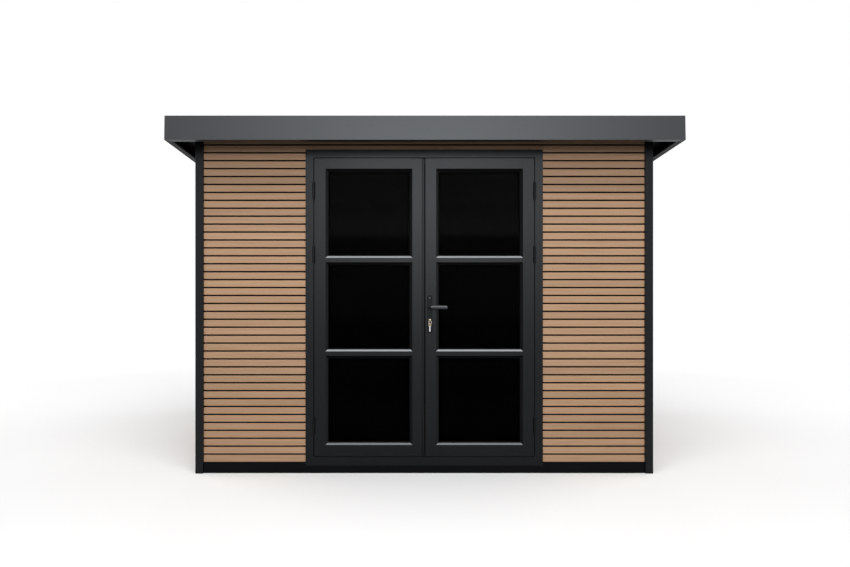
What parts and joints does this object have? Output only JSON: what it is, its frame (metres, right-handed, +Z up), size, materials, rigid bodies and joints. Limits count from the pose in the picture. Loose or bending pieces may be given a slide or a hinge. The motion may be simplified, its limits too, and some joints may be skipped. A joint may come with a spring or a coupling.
{
  "type": "garden house",
  "caption": "Flat-fronted garden house with a pent roof, deep dark roof edge, open-joint wood slat walls and an outward-opening glazed double door.",
  "frame": {"origin": "on the ground under the centre of the roof's outline", "axes": "+X to the right as seen from the door side, +Y from the door side to the back, +Z up"},
  "size_m": [3.25, 2.725, 2.2879],
  "materials": {
    "anthracite_metal": "matt powder coat",
    "wood_cladding": "satin, brushed grain",
    "wall_panel": "matt, dark faced panel",
    "floor_wood": "matt, planed",
    "roof_panel": "matt coated sheet",
    "roof_rubber": "matt",
    "door_paint": "satin paint",
    "window_glass": "clear, dark room behind",
    "black_fittings": "satin black",
    "lock_brass": "satin",
    "key_steel": "bright"
  },
  "bodies": {
    "house": {"back_cladding": "wood_cladding", "back_wall": "wall_panel", "base_rail_back": "anthracite_metal", "base_rail_front": "anthracite_metal", "base_rail_left": "anthracite_metal", "base_rail_right": "anthracite_metal", "corner_post_back_left": "anthracite_metal", "corner_post_back_right": "anthracite_metal", "corner_post_front_left": "anthracite_metal", "corner_post_front_right": "anthracite_metal", "door_frame": "door_paint", "floor_deck": "floor_wood", "floor_joists": "floor_wood", "frame_hinges": "black_fittings", "front_cladding_head": "wood_cladding", "front_cladding_left": "wood_cladding", "front_cladding_right": "wood_cladding", "front_wall_head": "wall_panel", "front_wall_left": "wall_panel", "front_wall_right": "wall_panel", "left_cladding": "wood_cladding", "left_wall": "wall_panel", "right_cladding": "wood_cladding", "right_wall": "wall_panel", "roof_membrane": "roof_rubber", "roof_panels": "roof_panel", "roof_trim_back": "anthracite_metal", "roof_trim_front": "anthracite_metal", "roof_trim_left": "anthracite_metal", "roof_trim_right": "anthracite_metal"},
    "left_leaf": {"left_leaf_glass": "window_glass", "left_leaf_glazing_bars": "door_paint", "left_leaf_hinges": "black_fittings", "left_leaf_meeting_strip": "door_paint", "left_leaf_rails": "door_paint", "left_leaf_stiles": "door_paint"},
    "right_leaf": {"handle_plates": "black_fittings", "key": "lock_brass", "key_ring": "key_steel", "lock_cylinder": "lock_brass", "right_leaf_glass": "window_glass", "right_leaf_glazing_bars": "door_paint", "right_leaf_hinges": "black_fittings", "right_leaf_rails": "door_paint", "right_leaf_stiles": "door_paint", "spare_key": "key_steel"},
    "lever": {"lever": "black_fittings"}
  },
  "joints": [
    {"name": "left_leaf_swing", "type": "hinge", "parent": "house", "child": "left_leaf", "pos_m": [-0.7235, -1.17, 1.09], "axis": [0, 0, -1], "range_deg": [0, 160]},
    {"name": "right_leaf_swing", "type": "hinge", "parent": "house", "child": "right_leaf", "pos_m": [0.7235, -1.17, 1.09], "axis": [0, 0, 1], "range_deg": [0, 160]},
    {"name": "handle_turn", "type": "hinge", "parent": "right_leaf", "child": "lever", "pos_m": [0.0365, -1.1605, 1.089], "axis": [0, 1, 0], "range_deg": [0, 40], "stiffness_Nm_per_rad": 1.5}
  ]
}
